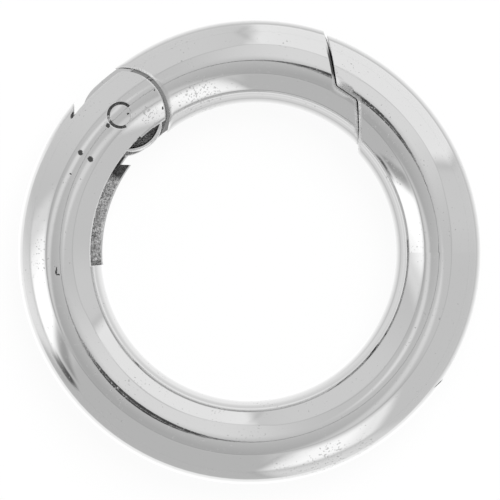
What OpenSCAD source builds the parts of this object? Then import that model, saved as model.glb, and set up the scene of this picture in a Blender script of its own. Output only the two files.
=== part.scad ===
// Round spring-gate carabiner: a cast ring with a gap, closed by a curved gate that
// swings inwards on a riveted pin and is pushed shut by a torsion spring.
//
// The ring lies flat. Its centre is the origin and +Z is its axis.
// Angles are counter-clockwise from +X. All sizes are in millimetres.

/* [Ring] */
// Outside diameter of the ring
ring_d = 30; // [26:0.5:40]
// Thickness of the round bar that the ring is made of
bar_d = 5.5; // [5.2:0.1:6.2]

/* [Gate] */
// Thickness of the gate's bar
gate_bar_d = 5.38; // [5:0.02:6]
// How much tighter the gate is bent than the ring
gate_bend_trim = 0.22; // [0:0.02:0.4]
// Angle that the gate stands out of the ring's line when it rests on its stop
gate_sit_out = 2.5; // [0:0.1:3]

/* [Nose joint] */
// Place of the nose joint on the ring's centre line
nose_angle = 63.4; // [56:0.1:72]
// How far the gate's lower half reaches under the ring's lip
nose_lap = 1.22; // [0.9:0.01:1.5]
// Running gap between the end faces, which are spheres about the hinge
nose_gap = 0.11; // [0.08:0.01:0.2]
// Slope of the land that stops the gate
land_slope = 43; // [30:1:55]
// Depth of the middle of the land below the centre line of the joint
land_drop = 0.72; // [0.4:0.02:1]
// Gap at the land, where the gate comes to its stop
land_gap = 0.05; // [0.03:0.01:0.1]
// Rounding of the lip and of the foot of the step
land_round = 0.3; // [0.2:0.02:0.4]

/* [Hinge] */
// Place of the hinge pin round the ring
hinge_angle = 133.2; // [128:0.1:138]
// How far the pin lies inside the ring's centre line
pin_inset = 0.13; // [0:0.01:0.3]
// Diameter of the hinge pin
pin_d = 1.36; // [1:0.02:1.6]
// Radial play of the pin in the two ears, where it is riveted
pin_seat_gap = 0.01; // [0.01:0.01:0.03]
// Radial play of the gate on the pin
pin_run_gap = 0.05; // [0.03:0.01:0.1]
// How far the rounded ends of the ears reach past the ring's outline
ear_over = 0.01; // [0.01:0.01:0.1]
// Gap between the ears and the gate's shoulder
shoulder_gap = 0.24; // [0.15:0.01:0.3]
// Width of the slot between the ears
hinge_slot_w = 3.5; // [3.2:0.05:4]
// Radius of the gate's knuckle about the pin
knuckle_r = 2.56; // [2.4:0.01:2.6]
// Play of the knuckle between the ears, on each side
knuckle_side_gap = 0.05; // [0.03:0.01:0.1]
// Gap between the knuckle and the rounded end of the slot
pocket_gap = 0.56; // [0.4:0.02:0.7]
// Angle by which the slot opens out on each side of the ring's line
slot_flare = 45; // [40:1:50]

/* [Rivet recess] */
// Diameter of the recess round the pin's head
recess_d = 1.74; // [1.7:0.02:2]
// Depth of the recess below the ring's surface
recess_depth = 0.4; // [0.2:0.05:0.6]
// Angle at which the open part of the recess starts
recess_start = 45; // [0:5:90]
// Angle over which the recess stays open, the rest being peened shut
recess_sweep = 252; // [200:1:300]

/* [Spring slot] */
// Angle round the ring at which the slot ends
spring_slot_end = 184.8; // [176:0.1:195]
// Height of the slot's upper wall above the ring's middle plane
spring_slot_top = 1.9; // [1.8:0.05:2.1]
// Depth of the slot's lower wall below the ring's middle plane
spring_slot_under = 0.65; // [0.4:0.05:1]
// Depth of the slot from the eye of the ring
spring_slot_depth = 3.25; // [2.8:0.05:3.6]
// Leg of the sloping foot where the slot runs out
spring_slot_foot = 0.34; // [0.2:0.02:0.5]

/* [Torsion spring] */
// Thickness of the spring wire
wire_d = 0.3; // [0.24:0.01:0.32]
// Diameter of the coil at the middle of the wire
coil_d = 3.72; // [3.4:0.02:3.9]
// Number of whole turns
coil_turns = 3; // [1:1:3]
// Gap between turns
turn_gap = 0.012; // [0.01:0.001:0.03]
// Gap between the coil and what lies above and below it
coil_gap = 0.05; // [0.03:0.01:0.1]
// How far the loose coil hangs off the pin's axis
coil_off = 0.74; // [0.4:0.02:0.78]
// Direction in which the coil hangs
coil_off_angle = -24; // [-35:1:-15]
// Place round the ring where the leg in the ring ends
ring_leg_angle = 165; // [158:1:172]
// Place round the ring where the leg in the gate ends
gate_leg_angle = 111; // [108:1:114]
// Distance of the gate leg's end outside the middle of the gate's bar
gate_leg_out = 0.9; // [0.6:0.05:1.1]
// Clearance of the spring's legs in the slot and in the gate
leg_gap = 0.04; // [0.03:0.01:0.1]

/* [Hidden] */

// Fineness of circles, of the ring's sweep and of the spring wire
$fn = 96;
sweep_fn = 180;
wire_sides = 10;
coil_step = 12;

bar_r = bar_d / 2;
ring_r = (ring_d - bar_d) / 2;
eye_r = ring_r - bar_r;
// Half of a height or width that reaches past the ring on all sides
reach = ring_d;
tall = bar_d;

function polar(radius, angle) = radius * [cos(angle), sin(angle)];
function turned(p, angle) = [
    p.x * cos(angle) - p.y * sin(angle),
    p.x * sin(angle) + p.y * cos(angle)
];
function bearing(p) = atan2(p.y, p.x);

// Hinge
pin_ring_r = ring_r - pin_inset;
pin_at = polar(pin_ring_r, hinge_angle);
pin_r = pin_d / 2;
ear_r = bar_r + pin_inset + ear_over;
shoulder_r = ear_r + shoulder_gap;
pocket_r = knuckle_r + pocket_gap;
along_angle = hinge_angle - 90;

// Gate: its bend is that of the ring, swung out about the pin by gate_sit_out
gate_bar_r = gate_bar_d / 2;
gate_ring_r = ring_r - gate_bend_trim;
gate_at = pin_at + turned(-pin_at, gate_sit_out);

// Nose: end faces on two balls about the pin, and a flat land square to an axis through the pin
nose_at = polar(ring_r, nose_angle);
nose_span = norm(nose_at - pin_at);
nose_bearing = bearing(nose_at - pin_at);
nose_face_r = norm([nose_span, bar_r]);
lap_face_r = nose_face_r + nose_lap;
land_mid = [nose_span + nose_lap / 2 - land_gap, -land_drop];
land_height = land_mid * [sin(land_slope), cos(land_slope)];
land_bearing = nose_bearing + 90 - land_slope;
corner_over = 0.05;
blend_over = 0.004;

// Stack in the hinge slot, from the upper ear down: coil, knuckle
slot_half = hinge_slot_w / 2;
turn_pitch = wire_d + turn_gap;
coil_top = slot_half - coil_gap - wire_d / 2;

// Coil and its two legs, each of which is tangent to the coil
coil_r = coil_d / 2;
coil_at = pin_at + polar(coil_off, coil_off_angle);
slot_floor_r = eye_r + spring_slot_depth;
ring_leg_end = polar(slot_floor_r - wire_d / 2 - leg_gap, ring_leg_angle);
gate_leg_end = gate_at + polar(gate_ring_r + gate_leg_out, gate_leg_angle);
function touch_angle(p, side) =
    bearing(p - coil_at) + side * acos(coil_r / norm(p - coil_at));
ring_leg_touch = touch_angle(ring_leg_end, -1) + 360;
gate_leg_touch = touch_angle(gate_leg_end, 1);
coil_sweep = 360 * coil_turns + ring_leg_touch - gate_leg_touch;
coil_fall = turn_pitch * coil_sweep / 360;
coil_low = coil_top - coil_fall;
knuckle_top = coil_low - wire_d / 2 - coil_gap;

// Curved bar of the ring or of the gate
module curved_bar(mean_r, section_r) {
    rotate_extrude($fn = sweep_fn)
        translate([mean_r, 0])
            circle(r = section_r);
}

// Everything between two angles, as a wedge from the ring's axis
module between(from_angle, to_angle) {
    middle = (from_angle + to_angle) / 2;
    linear_extrude(height = 2 * tall, center = true)
        polygon([
            [0, 0],
            polar(reach, from_angle),
            polar(reach, middle),
            polar(reach, to_angle)
        ]);
}

module at_pin() {
    translate(pin_at)
        children();
}

// Point of a profile at a radius from the pin and a height along the land's axis
function at_height(radius, height) = [sqrt(pow(radius, 2) - pow(height, 2)), height];

// What a rounding takes off between the land and a ball; side is 1 outside the ball, -1 inside.
// Its circle is a little too large, so that it crosses both faces instead of just touching them.
module corner_waste(at, touch, round_r, side) {
    past = touch * (1 + side * corner_over);
    difference() {
        polygon([at, touch, past, [at.x, past.y]]);
        translate(at)
            circle(r = round_r * (1 + blend_over), $fn = 48);
    }
}

// Half profile of the stepped nose: large ball below the land, small ball above it
module nose_profile(face_gap, land_room) {
    step_r = nose_face_r + face_gap;
    end_r = lap_face_r + face_gap;
    land_y = land_height + land_room;
    tip_round = land_round + land_room;
    root_round = land_round - land_room;
    tip_at = at_height(end_r - tip_round, land_y - tip_round);
    root_at = at_height(step_r + root_round, land_y + root_round);
    difference() {
        circle(r = end_r, $fn = sweep_fn);
        difference() {
            translate([-reach, land_y])
                square(2 * reach);
            circle(r = step_r, $fn = sweep_fn);
            corner_waste(root_at, root_at * step_r / norm(root_at), root_round, -1);
        }
        corner_waste(tip_at, tip_at * end_r / norm(tip_at), tip_round, 1);
        translate([-2 * reach, -reach])
            square(2 * reach);
    }
}

// Everything that the gate's nose fills as it swings, with its end faces and land moved out
module nose_turning(face_gap, land_room) {
    at_pin()
        rotate([0, 90, land_bearing])
            rotate_extrude($fn = sweep_fn)
                nose_profile(face_gap, land_room);
}

module pin_bore(bore_r) {
    at_pin()
        cylinder(r = bore_r, h = 2 * tall, center = true);
}

// Slot between the ears: round about the pin and opening out towards the gate
module hinge_slot() {
    back = polar(pocket_r, 90 + slot_flare);
    front = back + polar((pocket_r + shoulder_r) / cos(slot_flare), slot_flare);
    linear_extrude(height = hinge_slot_w, center = true)
        at_pin() {
            circle(r = pocket_r);
            rotate(along_angle)
                polygon([
                    back,
                    front,
                    [front.x, -front.y],
                    [back.x, -back.y]
                ]);
        }
}

// Slot for the long leg, cut from the eye, with a sloping foot at its end
module spring_slot() {
    height = spring_slot_top + spring_slot_under;
    difference() {
        translate([0, 0, -spring_slot_under])
            rotate_extrude(start = hinge_angle, angle = spring_slot_end - hinge_angle, $fn = sweep_fn)
                translate([eye_r - bar_r, 0])
                    square([spring_slot_depth + bar_r, height]);
        rotate([0, 0, spring_slot_end])
            translate([0, 0, -spring_slot_under])
                rotate([90, 0, 90])
                    linear_extrude(height = ring_r)
                        polygon([
                            [spring_slot_foot, -spring_slot_foot],
                            [-2 * spring_slot_foot, -spring_slot_foot],
                            [-spring_slot_foot, 0],
                            [spring_slot_foot, 2 * spring_slot_foot]
                        ]);
    }
}

// Narrow recess round the pin's head in the upper ear
module rivet_recess() {
    at_pin()
        translate([0, 0, bar_r - recess_depth])
            rotate_extrude(start = recess_start, angle = recess_sweep)
                translate([pin_r, 0])
                    square([recess_d / 2 - pin_r, recess_depth + tall]);
}

module ring_body() {
    color("silver")
        difference() {
            curved_bar(ring_r, bar_r);
            // gap that the gate closes, behind the rounded ears
            difference() {
                intersection() {
                    nose_turning(nose_gap, land_gap);
                    between(nose_angle - 30, hinge_angle);
                }
                pin_bore(ear_r);
            }
            hinge_slot();
            spring_slot();
            pin_bore(pin_r + pin_seat_gap);
            rivet_recess();
        }
}

module gate_bar() {
    translate(gate_at)
        curved_bar(gate_ring_r, gate_bar_r);
}

// Flat tongue with its round knuckle, which turns between the ears
module knuckle_tongue() {
    low = knuckle_side_gap - slot_half;
    intersection() {
        gate_bar();
        translate([0, 0, low])
            linear_extrude(height = knuckle_top - low) {
                at_pin()
                    circle(r = knuckle_r);
                intersection() {
                    difference() {
                        circle(r = pin_ring_r + knuckle_r, $fn = sweep_fn);
                        circle(r = pin_ring_r - knuckle_r, $fn = sweep_fn);
                    }
                    polygon([
                        [0, 0],
                        polar(reach, hinge_angle - 20),
                        polar(reach, hinge_angle)
                    ]);
                }
            }
    }
}

// Hole in the gate's shoulder for the spring's short leg
module gate_leg_hole() {
    start = coil_at + polar(coil_r, gate_leg_touch);
    way = gate_leg_end - start;
    translate([start.x, start.y, coil_low])
        rotate([0, 90, bearing(way)])
            cylinder(r = wire_d / 2 + leg_gap, h = norm(way) + 2 * leg_gap, $fn = 48);
}

// Round bar of the gate, from its hollow shoulder to its stepped nose
module gate_arm() {
    difference() {
        intersection() {
            gate_bar();
            between(nose_angle - 30, hinge_angle);
            nose_turning(0, 0);
        }
        pin_bore(shoulder_r);
    }
}

module gate() {
    color("gainsboro")
        difference() {
            union() {
                gate_arm();
                knuckle_tongue();
            }
            pin_bore(pin_r + pin_run_gap);
            gate_leg_hole();
        }
}

// Rivet whose ends are ground flush with the ring
module hinge_pin() {
    color("lightgray")
        intersection() {
            curved_bar(ring_r, bar_r);
            pin_bore(pin_r);
        }
}

// Middle line of the wire: ring leg, coil, gate leg
function coil_point(turn) =
    let (p = coil_at + polar(coil_r, ring_leg_touch - turn))
    [p.x, p.y, coil_top - coil_fall * turn / coil_sweep];
coil_steps = ceil(coil_sweep / coil_step);
wire_line = [
    [ring_leg_end.x, ring_leg_end.y, coil_top],
    for (i = [0 : coil_steps]) coil_point(coil_sweep * i / coil_steps),
    [gate_leg_end.x, gate_leg_end.y, coil_low]
];
wire_last = len(wire_line) - 1;

function unit(v) = v / norm(v);
function wire_way(i) = unit(wire_line[min(i + 1, wire_last)] - wire_line[max(i - 1, 0)]);
function wire_ring(i) =
    let (
        way = wire_way(i),
        side = unit(cross([0, 0, 1], way)),
        up = cross(way, side)
    )
    [for (k = [0 : wire_sides - 1])
        let (a = 360 * k / wire_sides)
        wire_line[i] + wire_d / 2 * (cos(a) * side + sin(a) * up)];

module torsion_spring() {
    wire_points = [for (i = [0 : wire_last]) each wire_ring(i)];
    wire_faces = [
        [for (k = [0 : wire_sides - 1]) k],
        for (i = [0 : wire_last - 1], k = [0 : wire_sides - 1])
            let (
                a = i * wire_sides + k,
                b = i * wire_sides + (k + 1) % wire_sides
            )
            [a, a + wire_sides, b + wire_sides, b],
        [for (k = [wire_sides - 1 : -1 : 0]) wire_last * wire_sides + k]
    ];
    color("dimgray")
        polyhedron(points = wire_points, faces = wire_faces, convexity = 6);
}

ring_body();
gate();
hinge_pin();
torsion_spring();
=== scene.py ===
"""Looks of a round spring-gate carabiner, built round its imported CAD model.

The ring lies flat on a white sheet and the camera looks straight down on it. Lengths are millimetres, and MM turns
them into Blender's metres. Angles are degrees: azimuths count counter-clockwise from +X, polar angles count from
straight up. A row of two or four numbers named for a ramp says: from, to, value at the first, value at the second.
"""

from math import acos, atan2, ceil, cos, degrees, pi, radians, sin

import bpy
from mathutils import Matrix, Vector

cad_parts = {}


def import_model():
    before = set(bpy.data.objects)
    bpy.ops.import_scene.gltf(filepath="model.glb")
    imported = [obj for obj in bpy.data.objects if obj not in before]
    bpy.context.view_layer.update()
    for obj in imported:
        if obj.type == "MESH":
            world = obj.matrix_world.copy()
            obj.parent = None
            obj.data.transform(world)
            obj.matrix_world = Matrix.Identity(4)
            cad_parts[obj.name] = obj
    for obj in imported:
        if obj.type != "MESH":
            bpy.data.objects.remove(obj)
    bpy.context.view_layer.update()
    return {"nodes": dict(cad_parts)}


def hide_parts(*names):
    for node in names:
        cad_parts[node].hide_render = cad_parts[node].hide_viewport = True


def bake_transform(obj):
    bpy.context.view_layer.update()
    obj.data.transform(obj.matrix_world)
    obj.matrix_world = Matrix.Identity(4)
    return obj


MM = 0.001
WHITE = (1, 1, 1, 1)
UP = Vector((0, 0, 1))

# The casting, as in the CAD source
RING_R = 12.25
BAR_R = 2.75
HINGE_ANGLE = 133.2
PIN_INSET = 0.13
GATE_BAR_R = 2.69
GATE_RING_R = 12.03
GATE_SIT_OUT = 2.5

# Torsion spring; each leg's end as radius and azimuth
WIRE_R = 0.15
WIRE_SIDES = 14
# Domed ends: place along the wire and width, in wire radii
WIRE_DOME = ((-1.0, 0.0), (-0.8, 0.6), (-0.4, 0.92))
COIL_R = 1.86
COIL_TURNS = 3
COIL_STEP = 5
TURN_PITCH = 0.312
COIL_TOP = 1.55
COIL_OFF = 0.74
COIL_OFF_ANGLE = -24
RING_LEG = (12.56, 165)
RING_LEG_STEPS = 14
GATE_LEG = (12.93, 111)
GATE_LEG_STEPS = 10

# Camera; its height is in metres
FRAME_PIXELS = 500
PIXEL_MM = 0.06488
RING_CENTRE_PIXEL = (249.5, 252.6)
CAMERA_HEIGHT = 0.30
SENSOR_MM = 36


def polar(radius, angle):
    return Vector((radius * cos(radians(angle)), radius * sin(radians(angle)), 0))


def turned(p, angle):
    c, s = cos(radians(angle)), sin(radians(angle))
    return Vector((p.x * c - p.y * s, p.x * s + p.y * c, p.z))


PIN_AT = polar(RING_R - PIN_INSET, HINGE_ANGLE)
GATE_AT = PIN_AT + turned(-PIN_AT, GATE_SIT_OUT)
COIL_AT = PIN_AT + polar(COIL_OFF, COIL_OFF_ANGLE)


# ---------------------------------------------------------------- torsion spring


def wire_line():
    """Middle line of the spring wire, ring leg, coil and gate leg, and the height of its last turn."""
    ring_end = polar(*RING_LEG)
    gate_end = GATE_AT + polar(*GATE_LEG)

    def touch_angle(p, side):
        away = p - COIL_AT
        return degrees(atan2(away.y, away.x)) + side * degrees(acos(COIL_R / away.length))

    first = touch_angle(ring_end, -1) + 360
    last = touch_angle(gate_end, 1)
    sweep = 360 * COIL_TURNS + first - last
    fall = TURN_PITCH * sweep / 360
    low = COIL_TOP - fall
    points = []
    start = COIL_AT + polar(COIL_R, first)
    for i in range(RING_LEG_STEPS):
        p = ring_end.lerp(start, i / RING_LEG_STEPS)
        points.append(Vector((p.x, p.y, COIL_TOP)))
    steps = ceil(sweep / COIL_STEP)
    for i in range(steps + 1):
        p = COIL_AT + polar(COIL_R, first - sweep * i / steps)
        points.append(Vector((p.x, p.y, COIL_TOP - fall * i / steps)))
    end = COIL_AT + polar(COIL_R, last)
    for i in range(1, GATE_LEG_STEPS + 1):
        p = end.lerp(gate_end, i / GATE_LEG_STEPS)
        points.append(Vector((p.x, p.y, low)))
    return points, low


def wire_mesh(name, points, radius, sides):
    """Round wire swept along points, with domed ends."""
    first_way = (points[1] - points[0]).normalized()
    last_way = (points[-1] - points[-2]).normalized()
    rings = []
    for back, share in WIRE_DOME:
        rings.append((points[0] + first_way * radius * back, first_way, radius * share))
    for i, p in enumerate(points):
        way = (points[min(i + 1, len(points) - 1)] - points[max(i - 1, 0)]).normalized()
        rings.append((p, way, radius))
    for back, share in reversed(WIRE_DOME):
        rings.append((points[-1] - last_way * radius * back, last_way, radius * share))
    verts, faces = [], []
    for at, way, r in rings:
        side = UP.cross(way).normalized()
        over = way.cross(side)
        for k in range(sides):
            a = 2 * pi * k / sides
            verts.append((at + (cos(a) * side + sin(a) * over) * r) * MM)
    for i in range(len(rings) - 1):
        for k in range(sides):
            a, b = i * sides + k, i * sides + (k + 1) % sides
            faces.append((a, a + sides, b + sides, b))
    mesh = bpy.data.meshes.new(name)
    mesh.from_pydata(verts, [], faces)
    mesh.update()
    for polygon in mesh.polygons:
        polygon.use_smooth = True
    piece = bpy.data.objects.new(name, mesh)
    bpy.context.scene.collection.objects.link(piece)
    return piece


# ---------------------------------------------------------------- node helpers


FLOAT, VECTOR = "NodeSocketFloat", "NodeSocketVector"


class Nodes:
    """Short hand for building a node tree."""

    def __init__(self, tree):
        self.tree = tree

    def add(self, kind, **settings):
        node = self.tree.nodes.new(kind)
        for key, value in settings.items():
            setattr(node, key, value)
        return node

    def put(self, socket, value):
        """Links an output, or sets a plain value, on an input socket."""
        if isinstance(value, bpy.types.NodeSocket):
            self.tree.links.new(value, socket)
        else:
            socket.default_value = value

    def math(self, operation, a, b=None, clamp=False):
        node = self.add("ShaderNodeMath", operation=operation, use_clamp=clamp)
        self.put(node.inputs[0], a)
        if b is not None:
            self.put(node.inputs[1], b)
        return node.outputs[0]

    def wrap(self, value, high, low):
        """Brings value between low and high by whole turns."""
        turn = self.math("WRAP", value, high)
        turn.node.inputs[2].default_value = low
        return turn

    def vector(self, operation, a, b=None, scale=None):
        node = self.add("ShaderNodeVectorMath", operation=operation)
        self.put(node.inputs[0], a)
        if b is not None:
            self.put(node.inputs[1], b)
        if scale is not None:
            self.put(node.inputs["Scale"], scale)
        return node.outputs["Value" if operation in ("LENGTH", "DOT_PRODUCT", "DISTANCE") else "Vector"]

    def combine(self, x, y, z):
        node = self.add("ShaderNodeCombineXYZ")
        for socket, value in zip(node.inputs, (x, y, z)):
            self.put(socket, value)
        return node.outputs[0]

    def split(self, at):
        node = self.add("ShaderNodeSeparateXYZ")
        self.put(node.inputs[0], at)
        return node.outputs

    def here(self):
        """Place on the piece itself, in millimetres."""
        return self.vector("SCALE", self.add("ShaderNodeTexCoord").outputs["Object"], scale=1 / MM)

    def flat(self, at):
        """A place with its height left out."""
        return self.vector("MULTIPLY", at, (1, 1, 0))

    def ramp(self, value, low, high, to_low=0.0, to_high=1.0, smooth=True):
        """Maps value from low..high to to_low..to_high, held at both ends."""
        node = self.add("ShaderNodeMapRange", interpolation_type="SMOOTHSTEP" if smooth else "LINEAR")
        labels = ("Value", "From Min", "From Max", "To Min", "To Max")
        for label, v in zip(labels, (value, low, high, to_low, to_high)):
            self.put(node.inputs[label], v)
        return node.outputs["Result"]

    def mix(self, share, a, b):
        """Mixes two numbers."""
        node = self.add("ShaderNodeMix", data_type="FLOAT")
        self.put(node.inputs["Factor"], share)
        self.put(node.inputs["A"], a)
        self.put(node.inputs["B"], b)
        return node.outputs["Result"]

    def mix_shader(self, share, a, b):
        node = self.add("ShaderNodeMixShader")
        self.put(node.inputs[0], share)
        self.put(node.inputs[1], a)
        self.put(node.inputs[2], b)
        return node.outputs[0]

    def noise(self, at, scale, detail, rough):
        node = self.add("ShaderNodeTexNoise")
        self.put(node.inputs["Vector"], at)
        self.put(node.inputs["Scale"], scale)
        self.put(node.inputs["Detail"], detail)
        self.put(node.inputs["Roughness"], rough)
        return node.outputs["Fac"]

    def grey(self, value):
        """Colour of one brightness."""
        node = self.add("ShaderNodeCombineColor")
        for socket in node.inputs[:3]:
            self.put(socket, value)
        return node.outputs[0]


def group(name, inputs, outputs):
    """New shader node group with named sockets; returns its tree, its Nodes, its input node and output node."""
    tree = bpy.data.node_groups.new(name, "ShaderNodeTree")
    for label, kind, value in inputs:
        socket = tree.interface.new_socket(name=label, in_out="INPUT", socket_type=kind)
        if value is not None:
            socket.default_value = value
    for label, kind in outputs:
        tree.interface.new_socket(name=label, in_out="OUTPUT", socket_type=kind)
    return tree, Nodes(tree), tree.nodes.new("NodeGroupInput"), tree.nodes.new("NodeGroupOutput")


def place(nodes, tree, **values):
    """Places a node group and sets or links its inputs by name; returns its outputs."""
    node = nodes.add("ShaderNodeGroup")
    node.node_tree = tree
    for name, value in values.items():
        nodes.put(node.inputs[name.replace("_", " ")], value)
    return node.outputs


def new_material(name):
    """New material with an empty node tree; returns it and its Nodes."""
    material = bpy.data.materials.new(name)
    material.use_nodes = True
    material.node_tree.nodes.clear()
    return material, Nodes(material.node_tree)


def surface(n, shader):
    n.put(n.add("ShaderNodeOutputMaterial").inputs["Surface"], shader)


# ---------------------------------------------------------------- light


# What stands round the ring: a white cloth tent, brighter and darker by place. Each patch: from azimuth, to
# azimuth, from polar angle, to polar angle, azimuth gained per degree of polar angle, soft edge sideways, soft edge
# up and down, brightness added. The azimuths hold at the polar angle LEAN_FROM.
LEAN_FROM = 65.0
TENT_LEVEL = 0.70
TENT_PATCHES = {
    "east_wall": (26, 91, 46, 200, -0.05, 2.5, 2.5, 0.31),
    "north_wall": (91, 150, 36, 200, 0.0, 16, 2.5, 0.08),
    "west_wall": (212, 275, 38, 200, 0.0, 3, 2.0, -0.10),
    "south_east_corner": (2, 26, 36, 200, 0.0, 8, 3, 0.06),
    "south_west_seam": (274, 276, 44, 125, -0.18, 1.6, 6, -0.09),
    "south_east_seam": (23, 25, 46, 100, -0.05, 1.6, 5, -0.07),
    "north_east_seam": (90.5, 92.5, 48, 100, 0.12, 1.6, 5, -0.10),
    "stand_head": (202.5, 212, 81.5, 99, 0.25, 2.2, 2.5, -0.48),
}
CEILING_PATCHES = {
    "east_ceiling": (22, 98, 9, 60, 0.0, 20, 8, 0.20),
    "north_strip": (253, 281, 12, 38, 2.5, 10, 4, 0.26),
    "south_strip": (213, 241, 8, 37, -2.14, 10, 4, 0.19),
}
LAMP_PATCHES = {
    "north_lamp_glow": (167, 205, 42, 89, 0.18, 4, 6, 0.20),
    "north_lamp": (177, 204.5, 42, 88, 0.18, 5, 5, 0.36),
    "north_lamp_core": (186, 202, 48, 84, 0.22, 5, 7, 0.24),
    "stand": (205, 214, 44, 74, 0.30, 2.5, 5, -0.26),
    "south_lamp": (277, 310, 41, 87, -0.24, 4, 6, 0.36),
    "south_lamp_core": (282, 300, 47, 81, -0.22, 5, 6, 0.20),
}
# Share of the lamps by how many mirrors their light has met
LAMP_ECHO = (1.0, 2.0, 1.0, 0.35)

# Ceiling: brightness by how far a direction points to the bright side, from -1 to 1
BRIGHT_SIDE = 57
CEILING_RISE = (-0.42, -0.08, 0.51, 0.61)
CEILING_STEP = (-0.10, 0.08, 0.0, 0.08)

# Seam between walls and ceiling: polar angle by azimuth; soft edge; darker by distance from it, in degrees
CEILING_SEAM = (
    (0, 34), (15, 38), (28, 46), (57, 44), (88, 48), (100, 41), (115, 35), (130, 32), (150, 36),
    (165, 39), (210, 40), (240, 37), (270, 36), (345, 35), (360, 34),
)
SEAM_EDGE = 1.2
SEAM_LINE = (0.4, 1.8, 0.12, 0.0)

# Slit that the lens looks through: two dark leaves that meet overhead, each with azimuth, half spread and length
OPENING_LEAVES = ((56, 32, 7.6), (231, 28, 5.6))
OPENING_MEET = 0.30
OPENING_EDGE = 0.2
OPENING_LEVEL = 0.07
LEAST_LEVEL = 0.03


def patch_group():
    """Mask of one soft-edged patch of the tent, by azimuth and polar angle."""
    labels = ("Azimuth", "Polar", "Middle", "Half Width", "Top", "Bottom", "Lean", "Side Edge", "Top Edge")
    tree, n, given, out = group("tent_patch", [(label, FLOAT, 0.0) for label in labels], [("Mask", FLOAT)])
    azimuth, polar_angle, middle, half, top, bottom, lean, side, upper = given.outputs[: len(labels)]
    leaned = n.math("ADD", middle, n.math("MULTIPLY", lean, n.math("SUBTRACT", polar_angle, LEAN_FROM)))
    off = n.math("ABSOLUTE", n.wrap(n.math("SUBTRACT", azimuth, leaned), 180, -180))
    across = n.ramp(off, n.math("SUBTRACT", half, side), n.math("ADD", half, side), 1.0, 0.0)
    below = n.ramp(polar_angle, n.math("SUBTRACT", top, upper), n.math("ADD", top, upper))
    above = n.ramp(polar_angle, n.math("SUBTRACT", bottom, upper), n.math("ADD", bottom, upper), 1.0, 0.0)
    n.put(out.inputs["Mask"], n.math("MULTIPLY", across, n.math("MULTIPLY", below, above)))
    return tree


def patches(n, table, azimuth, polar_angle, level):
    """Adds every patch of a table to a brightness."""
    patch = bpy.data.node_groups.get("tent_patch") or patch_group()
    for low, high, top, bottom, lean, side, upper, strength in table.values():
        shape = place(
            n, patch, Azimuth=azimuth, Polar=polar_angle, Middle=(low + high) / 2, Half_Width=(high - low) / 2,
            Top=top, Bottom=bottom, Lean=lean, Side_Edge=side, Top_Edge=upper,
        )
        level = n.math("ADD", level, n.math("MULTIPLY", shape["Mask"], strength))
    return level


def ceiling_seam(n, azimuth):
    """Polar angle of the seam between walls and ceiling."""
    turn = n.wrap(azimuth, 360, 0)
    curve = n.add("ShaderNodeFloatCurve")
    points = curve.mapping.curves[0].points
    spots = [(az / 360, pol / 90) for az, pol in CEILING_SEAM]
    points[0].location, points[-1].location = spots[0], spots[-1]
    for spot in spots[1:-1]:
        points.new(*spot)
    curve.mapping.update()
    n.put(curve.inputs["Value"], n.math("DIVIDE", turn, 360.0))
    return n.math("MULTIPLY", curve.outputs[0], 90.0)


def surroundings():
    """World: the tent, as the metal sees it, and plain white where only the camera sees it."""
    world = bpy.data.worlds.new("light_tent")
    bpy.context.scene.world = world
    world.use_nodes = True
    world.node_tree.nodes.clear()
    n = Nodes(world.node_tree)
    direction = n.add("ShaderNodeTexCoord").outputs["Generated"]
    x, y, z = n.split(direction)
    azimuth = n.math("MULTIPLY", n.math("ARCTAN2", y, x), 180 / pi)
    polar_angle = n.math("MULTIPLY", n.math("ARCCOSINE", z), 180 / pi)

    # walls and lamps
    level = patches(n, TENT_PATCHES, azimuth, polar_angle, TENT_LEVEL)
    path = n.add("ShaderNodeLightPath")
    lamps = patches(n, LAMP_PATCHES, azimuth, polar_angle, 0.0)
    lamps = n.math("MULTIPLY", lamps, n.ramp(path.outputs["Glossy Depth"], *LAMP_ECHO, smooth=False))
    walls = n.math("ADD", level, lamps)

    # ceiling, brighter to one side, and its seam
    seam_at = ceiling_seam(n, azimuth)
    brightward = n.vector("DOT_PRODUCT", direction, polar(1, BRIGHT_SIDE))
    ceiling = n.math("ADD", n.ramp(brightward, *CEILING_RISE, smooth=False), n.ramp(brightward, *CEILING_STEP))
    ceiling = patches(n, CEILING_PATCHES, azimuth, polar_angle, ceiling)
    under = n.math("SUBTRACT", polar_angle, seam_at)
    level = n.mix(n.ramp(under, -SEAM_EDGE, SEAM_EDGE), ceiling, walls)
    level = n.math("SUBTRACT", level, n.ramp(n.math("ABSOLUTE", under), *SEAM_LINE))

    # opening for the lens
    reach = OPENING_MEET
    for leaf_azimuth, half_spread, length in OPENING_LEAVES:
        share = n.math("DIVIDE", n.wrap(n.math("SUBTRACT", azimuth, leaf_azimuth), 180, -180), half_spread)
        leaf = n.math("MULTIPLY", n.math("SUBTRACT", 1.0, n.math("MULTIPLY", share, share)), length)
        reach = n.math("MAXIMUM", leaf, reach)
    opening = n.ramp(n.math("SUBTRACT", polar_angle, reach), -OPENING_EDGE, OPENING_EDGE, 1.0, 0.0)
    level = n.math("MAXIMUM", n.mix(opening, level, OPENING_LEVEL), LEAST_LEVEL)

    level = n.mix(path.outputs["Is Camera Ray"], level, 1.0)
    background = n.add("ShaderNodeBackground")
    background.inputs["Color"].default_value = WHITE
    n.put(background.inputs["Strength"], level)
    n.put(n.add("ShaderNodeOutputWorld").inputs["Surface"], background.outputs[0])


# White sheet under the ring; its size is in metres
SHEET_SIZE = 4
SHEET_COLOUR = (0.88, 0.88, 0.88, 1)
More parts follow.
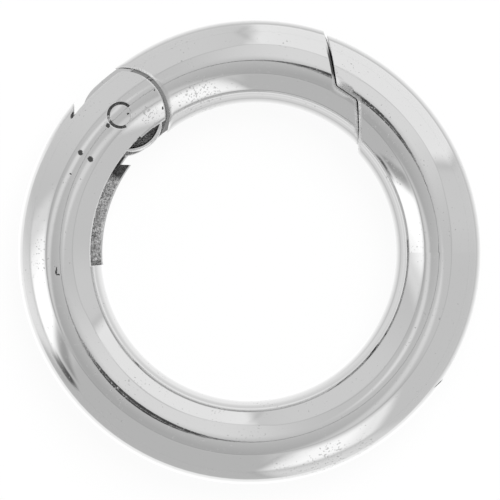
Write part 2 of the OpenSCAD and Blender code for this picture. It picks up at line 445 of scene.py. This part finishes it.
# Painted glow of the sheet, as bright as the metal sees it: by the gap to the bar's centre line, then less in a
# dip, and more to the southwest, which is measured from the ring's centre away from the bright side
SHEET_BY_GAP = (3.6, 7.0, 1.08, 0.82)
DIP_BEGINS = (6.5, 7.3)
DIP_ENDS = (8.0, 9.0, 0.13, 0.0)
DIP_BY_SOUTHWEST = (0.0, 2.5, 1.0, 0.0)
SOUTHWEST_GLOW = (-1.5, 4.0, 0.0, 0.24)
# Painted glow seen at a low glance inside the eye, and mirrored at a slant outside it
GLANCE_FACING = (0.64, 0.78)
GLANCE_BY_SOUTHWEST = (-8.0, 0.0, 1.02, 0.82)
MIRROR_FACING = (0.40, 0.46)
MIRROR_ROUGHNESS = 0.12
# Share of plain white where the camera sees the sheet; the rest keeps the ring's shadow
CAMERA_SHARE = 0.92


def floor():
    """White sheet under the ring. For rays from the metal it glows by place, a painted reflection of the tent, and
    outside the ring it also mirrors at a slant; it keeps the ring's shadow.
    """
    bpy.ops.mesh.primitive_plane_add(size=SHEET_SIZE, location=(0, 0, -BAR_R * MM))
    ground = bpy.context.object
    ground.name = "floor"
    material, n = new_material("white_sheet")
    path = n.add("ShaderNodeLightPath")
    diffuse = n.add("ShaderNodeBsdfDiffuse")
    diffuse.inputs["Color"].default_value = SHEET_COLOUR
    flat = n.flat(n.here())
    from_centre = n.vector("LENGTH", flat)
    southwest = n.vector("DOT_PRODUCT", flat, -polar(1, BRIGHT_SIDE))

    # painted glow: brightness as the metal sees it
    gap = n.math("ABSOLUTE", n.math("SUBTRACT", from_centre, RING_R))
    dip = n.math("MULTIPLY", n.ramp(gap, *DIP_BEGINS), n.ramp(gap, *DIP_ENDS))
    dip = n.math("MULTIPLY", dip, n.ramp(southwest, *DIP_BY_SOUTHWEST))
    near = n.math("SUBTRACT", n.ramp(gap, *SHEET_BY_GAP), dip)
    near = n.math("ADD", near, n.ramp(southwest, *SOUTHWEST_GLOW))
    slope = n.add("ShaderNodeLayerWeight")
    slope.inputs["Blend"].default_value = 0.5
    facing = slope.outputs["Facing"]
    inside = n.math("LESS_THAN", from_centre, RING_R)
    glance = n.math("MULTIPLY", n.ramp(facing, *GLANCE_FACING), inside)
    near = n.mix(glance, near, n.ramp(southwest, *GLANCE_BY_SOUTHWEST))
    glow = n.add("ShaderNodeEmission")
    n.put(glow.inputs["Strength"], n.mix(path.outputs["Is Camera Ray"], near, 1.0))

    # mirror outside the ring
    mirror = n.add("ShaderNodeBsdfGlossy")
    mirror.inputs["Color"].default_value = WHITE
    mirror.inputs["Roughness"].default_value = MIRROR_ROUGHNESS
    slant = n.math("MULTIPLY", n.ramp(facing, *MIRROR_FACING), path.outputs["Is Glossy Ray"])
    slant = n.math("MULTIPLY", slant, n.math("GREATER_THAN", from_centre, RING_R))

    white = n.math("MULTIPLY", path.outputs["Is Camera Ray"], CAMERA_SHARE)
    seen = n.math("ADD", white, path.outputs["Is Glossy Ray"], clamp=True)
    lit = n.mix_shader(seen, diffuse.outputs[0], glow.outputs[0])
    surface(n, n.mix_shader(slant, lit, mirror.outputs[0]))
    ground.data.materials.append(material)


def lamp(name, azimuth, elevation, distance, size, power):
    """Square lamp aimed at the ring's centre; distance and size in metres, power in watts."""
    light = bpy.data.lights.new(name, "AREA")
    light.energy = power
    light.size = size
    lamp_object = bpy.data.objects.new(name, light)
    back = Vector((cos(radians(azimuth)) * cos(radians(elevation)),
                   sin(radians(azimuth)) * cos(radians(elevation)), sin(radians(elevation))))
    lamp_object.location = back * distance
    lamp_object.rotation_euler = back.to_track_quat("Z", "Y").to_euler()
    lamp_object.visible_glossy = False
    bpy.context.scene.collection.objects.link(lamp_object)


def camera():
    """Straight down, with the ring's centre on its own pixel."""
    data = bpy.data.cameras.new("camera")
    data.sensor_width = SENSOR_MM
    data.lens = SENSOR_MM * CAMERA_HEIGHT / (FRAME_PIXELS * PIXEL_MM * MM)
    data.clip_start, data.clip_end = 0.01, 10
    view = bpy.data.objects.new("camera", data)
    half = FRAME_PIXELS / 2
    view.location = (
        (half - RING_CENTRE_PIXEL[0]) * PIXEL_MM * MM,
        (RING_CENTRE_PIXEL[1] - half) * PIXEL_MM * MM,
        CAMERA_HEIGHT,
    )
    bpy.context.scene.collection.objects.link(view)
    bpy.context.scene.camera = view


# ---------------------------------------------------------------- finishes


# Polished plate and the cast metal below it: brightness, roughness, and depths in millimetres
PLATE_TONE = 0.75
RIVET_TONE = 0.74
PLATE_ENDS = (0.05, 0.10)
PIT_SHARE = 0.7
PIT_DEPTH = 0.01
KNOCK_AND_SEAM_SHADE_TONE = 0.10
KNOCK_ROUGHNESS = 0.5
KNOCK_DEPTH = 0.05
BAND_TONE = 0.41
BAND_ROUGHNESS = 0.12
EDGE_SAMPLES = 6
# Cast faces: what the noise gives, as ramps, and the height of the grain
CAST_TONE = (0.32, 0.68, 0.22, 0.60)
CAST_BLOTCH = (0.3, 0.7, -0.08, 0.08)
CAST_ROUGHNESS = (0.3, 0.7, 0.30, 0.46)
CAST_GRAIN = 0.035
# Plate: heights of its waviness and fine grain, and what the noise gives
WAVE_HEIGHT = 0.002
FINE_HEIGHT = 0.0001
PLATE_ROUGHNESS = (0.35, 0.7, 0.03, 0.06)
PIT_CLUSTER = (0.50, 0.66, 0.0, 0.07)
PIT_EDGE = (0.70, 0.75)
# Spring wire
WIRE_TONE = (0.35, 0.65, 0.70, 0.82)
WIRE_ROUGHNESS = (0.3, 0.7, 0.12, 0.22)

# Small casting pits and knocks on the upper side: middle x, y, half length, half width, direction of the long axis
MARKS = (
    (-10.87, 6.43, 0.19, 0.16, 100),
    (-10.23, 6.00, 0.21, 0.17, 120),
    (-9.10, 8.17, 0.16, 0.13, 125),
    (-11.40, 8.90, 0.27, 0.13, 62),
    (-11.50, 5.06, 0.07, 0.05, 0),
    (-7.80, 8.94, 0.09, 0.07, 0),
    (-12.42, -1.16, 0.26, 0.06, 85),
    (-12.30, -1.42, 0.14, 0.06, 0),
    (12.30, -8.42, 0.45, 0.035, 40),
    (-6.10, 10.45, 0.06, 0.04, 50),
    (-5.60, 9.30, 0.05, 0.09, 0),
)
# Their soft edge, in shares of their size, and how far and how finely their outline wanders
MARK_EDGE = (0.75, 1.15, 1.0, 0.0)
MARK_RAGGED = 0.12
MARK_RAGGED_SCALE = 7.0

# Places where the plate is pitted more: middle x, y and radius; full up to a share of the radius, then fading out
PITTED = ((-3.2, 10.0, 2.3), (-6.4, 9.0, 1.2), (5.4, -13.2, 1.7), (7.6, -12.6, 1.3), (4.2, -14.0, 1.4))
PITTED_FULL = 0.3
PITTED_MORE = 0.12


def depth_group():
    """How deep a point lies under the surface of a curved round bar, in millimetres."""
    tree, n, given, out = group(
        "depth_in_bar",
        [
            ("Centre X", FLOAT, 0.0),
            ("Centre Y", FLOAT, 0.0),
            ("Bend Radius", FLOAT, RING_R),
            ("Bar Radius", FLOAT, BAR_R),
        ],
        [("Depth", FLOAT), ("Place", VECTOR)],
    )
    centre_x, centre_y, bend, bar = given.outputs[:4]
    here = n.here()
    x, y, z = n.split(here)
    flat = n.combine(n.math("SUBTRACT", x, centre_x), n.math("SUBTRACT", y, centre_y), 0.0)
    off = n.math("SUBTRACT", n.vector("LENGTH", flat), bend)
    section = n.combine(off, 0.0, z)
    n.put(out.inputs["Depth"], n.math("SUBTRACT", bar, n.vector("LENGTH", section)))
    n.put(out.inputs["Place"], here)
    return tree


def marks_group():
    """Mask of the pits and knocks."""
    tree, n, given, out = group("knocks", [("Place", VECTOR, None)], [("Mask", FLOAT)])
    ragged = n.add("ShaderNodeTexNoise")
    n.put(ragged.inputs["Vector"], given.outputs[0])
    ragged.inputs["Scale"].default_value = MARK_RAGGED_SCALE
    ragged.inputs["Detail"].default_value = 2.0
    shift = n.vector("SUBTRACT", ragged.outputs["Color"], (0.5, 0.5, 0.5))
    here = n.vector("ADD", given.outputs[0], n.vector("SCALE", shift, scale=MARK_RAGGED))
    mask = 0.0
    for x, y, length, width, angle in MARKS:
        off = n.vector("SUBTRACT", here, (x, y, 0))
        along = n.math("DIVIDE", n.vector("DOT_PRODUCT", off, polar(1, angle)), length)
        across = n.math("DIVIDE", n.vector("DOT_PRODUCT", off, polar(1, angle + 90)), width)
        oval = n.combine(along, across, 0.0)
        mask = n.math("MAXIMUM", mask, n.ramp(n.vector("LENGTH", oval), *MARK_EDGE))
    height = n.split(given.outputs[0])[2]
    n.put(out.inputs["Mask"], n.math("MULTIPLY", mask, n.math("GREATER_THAN", height, 0.0)))
    return tree


def cast_group():
    """Mottled grey of a face left as cast: brightness, roughness and height in millimetres."""
    outputs = [("Tone", FLOAT), ("Roughness", FLOAT), ("Height", FLOAT)]
    tree, n, given, out = group("as_cast", [("Place", VECTOR, None)], outputs)
    here = given.outputs[0]
    grain = n.noise(here, scale=6.0, detail=3.0, rough=0.7)
    blotch = n.noise(here, scale=2.0, detail=2.0, rough=0.5)
    n.put(out.inputs["Tone"], n.math("ADD", n.ramp(grain, *CAST_TONE), n.ramp(blotch, *CAST_BLOTCH)))
    n.put(out.inputs["Roughness"], n.ramp(blotch, *CAST_ROUGHNESS))
    n.put(out.inputs["Height"], n.math("MULTIPLY", grain, CAST_GRAIN))
    return tree


def polish_group():
    """Slight waviness, fine grain and pits of polished plate: height in millimetres, roughness, pit mask."""
    outputs = [("Height", FLOAT), ("Roughness", FLOAT), ("Pits", FLOAT)]
    tree, n, given, out = group("polished_plate", [("Place", VECTOR, None)], outputs)
    here = given.outputs[0]
    wave = n.math("MULTIPLY", n.noise(here, scale=0.35, detail=1.0, rough=0.4), WAVE_HEIGHT)
    fine = n.math("MULTIPLY", n.noise(here, scale=7.0, detail=1.0, rough=0.5), FINE_HEIGHT)
    smudge = n.noise(here, scale=1.6, detail=3.0, rough=0.6)
    cluster = n.ramp(n.noise(here, scale=0.4, detail=2.0, rough=0.5), *PIT_CLUSTER)
    flat = n.flat(here)
    for x, y, reach in PITTED:
        off = n.vector("DISTANCE", flat, (x, y, 0))
        cluster = n.math("MAXIMUM", cluster, n.ramp(off, reach * PITTED_FULL, reach, PITTED_MORE, 0.0))
    speckle = n.noise(here, scale=6.5, detail=2.0, rough=0.6)
    pits = n.ramp(n.math("ADD", speckle, cluster), *PIT_EDGE)
    height = n.math("SUBTRACT", n.math("ADD", wave, fine), n.math("MULTIPLY", pits, PIT_DEPTH))
    n.put(out.inputs["Height"], height)
    n.put(out.inputs["Roughness"], n.ramp(smudge, *PLATE_ROUGHNESS))
    n.put(out.inputs["Pits"], pits)
    return tree


# Tongue's top: painted shade under the coil, a clean band from a distance from the pin on, and rubbed bright from a
# distance from the ring's centre on
COIL_SHADE = (COIL_R - 0.1, COIL_R + 0.3, 0.75, 1.0)
BAND_FROM_PIN = (2.8, 2.9)
RUBBED_FROM = 14.2
BAND_RUBBED_FROM = 13.95
RUBBED_EDGE = 0.15


def tongue_group():
    """Tongue's top: brightness, with painted shade under the coil, and masks of the outer strip rubbed bright and
    of the clean band in the joint.
    """
    outputs = [("Shade", FLOAT), ("Rubbed", FLOAT), ("Band", FLOAT)]
    tree, n, given, out = group("tongue_top", [("Place", VECTOR, None)], outputs)
    flat = n.flat(given.outputs[0])
    # painted shade on the tongue's top under the coil
    n.put(out.inputs["Shade"], n.ramp(n.vector("DISTANCE", flat, COIL_AT), *COIL_SHADE))
    band = n.ramp(n.vector("DISTANCE", flat, PIN_AT), *BAND_FROM_PIN)
    n.put(out.inputs["Band"], band)
    bare_from = n.mix(band, RUBBED_FROM, BAND_RUBBED_FROM)
    rubbed = n.ramp(n.vector("LENGTH", flat), bare_from, n.math("ADD", bare_from, RUBBED_EDGE))
    n.put(out.inputs["Rubbed"], rubbed)
    return tree


# How far edges are rounded by casting and tumbling
EAR_EDGE_R = 0.13
GATE_EDGE_R = 0.40
PIN_EDGE_R = 0.05
LIP_EDGE_R = 0.38
SEAM_EDGE_R = 0.10
STEP_EDGE_R = 0.70
# Where edges lie: round the hinge; lip and seam of the nose joint, as distances from the pin; step between them
HINGE_REACH = (4.2, 4.6)
LIP_FROM_PIN = 15.35
LIP_REACH = (0.3, 0.9)
SEAM_FROM_PIN = 14.17
SEAM_REACH = (0.15, 0.4)
STEP_AT = polar(12.2, 60.5) + BAR_R * UP
STEP_REACH = (0.55, 1.0)


def near_edges(n, here, edge_r):
    """Edge rounding by place: only round the hinge and at the nose joint, so that the bar stays crisp."""
    from_pin = n.vector("DISTANCE", here, PIN_AT)
    at_hinge = n.ramp(from_pin, *HINGE_REACH, edge_r, 0.0)
    off_lip = n.math("ABSOLUTE", n.math("SUBTRACT", from_pin, LIP_FROM_PIN))
    off_seam = n.math("ABSOLUTE", n.math("SUBTRACT", from_pin, SEAM_FROM_PIN))
    at_lip = n.ramp(off_lip, *LIP_REACH, LIP_EDGE_R, 0.0)
    at_seam = n.ramp(off_seam, *SEAM_REACH, SEAM_EDGE_R, 0.0)
    at_step = n.ramp(n.vector("DISTANCE", here, STEP_AT), *STEP_REACH, STEP_EDGE_R, 0.0)
    at_nose = n.math("MAXIMUM", n.math("MAXIMUM", at_lip, at_seam), at_step)
    return n.math("MAXIMUM", at_hinge, at_nose)


# Painted shade on the gate along the outer part of the nose joint, widening the joint's dark line: off the seam,
# and between two distances from the centre
SEAM_SHADE_OFF_SEAM = (0.03, 0.09, 1.0, 0.0)
SEAM_SHADE_BEGINS = (12.2, 12.8)
SEAM_SHADE_ENDS = (13.6, 14.4, 1.0, 0.0)


def gate_detail(n, here, edge_r):
    """The tongue's top; edges rounded at the shoulder and the nose; painted shade beside the nose joint."""
    top = place(n, tongue_group(), Place=here)
    from_centre = n.vector("LENGTH", n.flat(here))
    outer = n.math("MULTIPLY", n.ramp(from_centre, *SEAM_SHADE_BEGINS), n.ramp(from_centre, *SEAM_SHADE_ENDS))
    from_pin = n.vector("DISTANCE", here, PIN_AT)
    off_seam = n.math("ABSOLUTE", n.math("SUBTRACT", from_pin, SEAM_FROM_PIN))
    # painted shade on the gate beside the seam of the nose joint
    seam_shade = n.math("MULTIPLY", n.ramp(off_seam, *SEAM_SHADE_OFF_SEAM), outer)
    return top["Shade"], top["Rubbed"], top["Band"], near_edges(n, here, edge_r), seam_shade


# Brightness of the ring's cast faces by place: painted shade in the recess round the rivet, lifted at one lighter
# spot, painted shade at the spring slot's upper end and painted light down to its foot
RECESS_SHADE = (0.95, 1.1, 0.25, 1.0)
RECESS_SPOT_AT = PIN_AT + polar(0.79, 195)
RECESS_SPOT_LIGHT = (0.10, 0.28, 1.5, 0.0)
SLOT_TOP_AT = polar(10.1, 146.5)
SLOT_TOP_SHADE = (0.5, 1.1, 0.3, 1.6)
SLOT_FOOT_AT = polar(9.95, 183.9)
SLOT_FOOT_SHADE = (0.25, 0.5, 1.6, 1.0)
# The slot's edges lie nearer the centre than this, and further west
SLOT_EDGE_R = 10.6
SLOT_WEST = 5.0


def ring_detail(n, here, edge_r):
    """Painted shade in the rivet recess and at the upper end of the spring slot, painted light at its foot; edges
    rounded at the hinge, the nose and the slot.
    """
    flat = n.flat(here)
    # painted shade in the rivet recess, with one lighter spot
    recess = n.ramp(n.vector("DISTANCE", flat, PIN_AT), *RECESS_SHADE)
    recess_spot = n.ramp(n.vector("DISTANCE", flat, RECESS_SPOT_AT), *RECESS_SPOT_LIGHT)
    # painted shade at the slot's upper end, painted light along the slot and at its foot
    slot_top = n.ramp(n.vector("DISTANCE", flat, SLOT_TOP_AT), *SLOT_TOP_SHADE)
    slot_foot = n.ramp(n.vector("DISTANCE", flat, SLOT_FOOT_AT), *SLOT_FOOT_SHADE)
    slot_light = n.math("MULTIPLY", slot_top, slot_foot)
    shade = n.math("ADD", n.math("MULTIPLY", recess, slot_light), recess_spot)
    in_slot = n.math("LESS_THAN", n.vector("LENGTH", flat), SLOT_EDGE_R)
    west = n.math("GREATER_THAN", n.vector("DOT_PRODUCT", here, (-1, 0, 0)), SLOT_WEST)
    slot_edge = n.math("MULTIPLY", n.math("MULTIPLY", in_slot, west), edge_r)
    return shade, 0.0, 0.0, n.math("MAXIMUM", near_edges(n, here, edge_r), slot_edge), 0.0


def plated_metal(name, groups, tone, edge_r, centre=Vector((0, 0, 0)), bend=RING_R, bar=BAR_R, detail=None):
    """Polished nickel plate on the surface of a curved bar, as cast below it.

    edge_r is how far its edges are rounded, in millimetres. detail changes how cast faces and edges look by place:
    it gives brightness with painted shade and light, mask of rubbed places, mask of the clean band, edge rounding
    and mask of painted shade beside the nose joint.
    """
    depth, cast, polish, marks = groups
    material, n = new_material(name)
    bar_out = place(n, depth, Centre_X=centre.x, Centre_Y=centre.y, Bend_Radius=bend, Bar_Radius=bar)
    here = bar_out["Place"]
    deep = n.ramp(bar_out["Depth"], *PLATE_ENDS)
    inside, shade, band, seam_shade = deep, 1.0, 0.0, 0.0
    if detail:
        shade, rubbed, band, edge_r, seam_shade = detail(n, here, edge_r)
        inside = n.math("MULTIPLY", deep, n.math("SUBTRACT", 1.0, rubbed))
        band = n.math("MULTIPLY", inside, band)
    cast_out = place(n, cast, Place=here)
    polish_out = place(n, polish, Place=here)
    # real pits and knocks, and the painted shade beside the nose joint, take one dark tone
    knocks_and_seam_shade = n.math("MAXIMUM", place(n, marks, Place=here)["Mask"], seam_shade)

    shine = n.mix(polish_out["Pits"], tone, tone * PIT_SHARE)
    # shade holds the painted shade and light of the cast faces
    grey = n.mix(inside, shine, n.math("MULTIPLY", cast_out["Tone"], shade, clamp=True))
    grey = n.mix(knocks_and_seam_shade, n.mix(band, grey, BAND_TONE), KNOCK_AND_SEAM_SHADE_TONE)
    rough = n.mix(inside, polish_out["Roughness"], n.mix(band, cast_out["Roughness"], BAND_ROUGHNESS))
    height = n.mix(inside, polish_out["Height"], n.mix(band, cast_out["Height"], 0.0))

    edge = n.add("ShaderNodeBevel", samples=EDGE_SAMPLES)
    n.put(edge.inputs["Radius"], n.math("MULTIPLY", edge_r, n.mix(deep, MM, 0.0)))
    bump = n.add("ShaderNodeBump")
    n.put(bump.inputs["Height"], n.math("SUBTRACT", height, n.math("MULTIPLY", knocks_and_seam_shade, KNOCK_DEPTH)))
    bump.inputs["Strength"].default_value = 1.0
    bump.inputs["Distance"].default_value = MM
    n.put(bump.inputs["Normal"], edge.outputs[0])

    metal = n.add("ShaderNodeBsdfPrincipled")
    metal.inputs["Metallic"].default_value = 1.0
    n.put(metal.inputs["Base Color"], n.grey(grey))
    n.put(metal.inputs["Roughness"], n.mix(knocks_and_seam_shade, rough, KNOCK_ROUGHNESS))
    n.put(metal.inputs["Normal"], bump.outputs[0])
    surface(n, metal.outputs[0])
    return material


def wire_steel():
    """Bright drawn wire."""
    material, n = new_material("spring_wire")
    grain = n.noise(n.here(), scale=7.0, detail=2.0, rough=0.6)
    metal = n.add("ShaderNodeBsdfPrincipled")
    metal.inputs["Metallic"].default_value = 1.0
    n.put(metal.inputs["Base Color"], n.grey(n.ramp(grain, *WIRE_TONE)))
    n.put(metal.inputs["Roughness"], n.ramp(grain, *WIRE_ROUGHNESS))
    surface(n, metal.outputs[0])
    return material


def dress(node, material):
    node.data.materials.clear()
    node.data.materials.append(material)


def dress_castings(nodes):
    """Puts the metals on ring, gate and rivet."""
    groups = (depth_group(), cast_group(), polish_group(), marks_group())
    dress(nodes["ring_body"], plated_metal("nickel_ring", groups, PLATE_TONE, EAR_EDGE_R, detail=ring_detail))
    gate_metal = plated_metal(
        "nickel_gate", groups, PLATE_TONE, GATE_EDGE_R, GATE_AT, GATE_RING_R, GATE_BAR_R, gate_detail
    )
    dress(nodes["gate"], gate_metal)
    dress(nodes["hinge_pin"], plated_metal("nickel_rivet", groups, RIVET_TONE, PIN_EDGE_R))


def spring_wire():
    """Smooth wire in the spring's place, twisting between ring and gate."""
    points, low = wire_line()
    spring = wire_mesh("spring_wire", points, WIRE_R, WIRE_SIDES)
    dress(spring, wire_steel())
    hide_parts("torsion_spring")
    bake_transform(spring)


def main():
    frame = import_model()

    dress_castings(frame["nodes"])
    spring_wire()
    surroundings()
    floor()
    lamp("key_lamp", azimuth=60, elevation=60, distance=0.8, size=0.5, power=4.0)
    camera()
    bpy.context.scene.view_settings.view_transform = "Standard"


main()
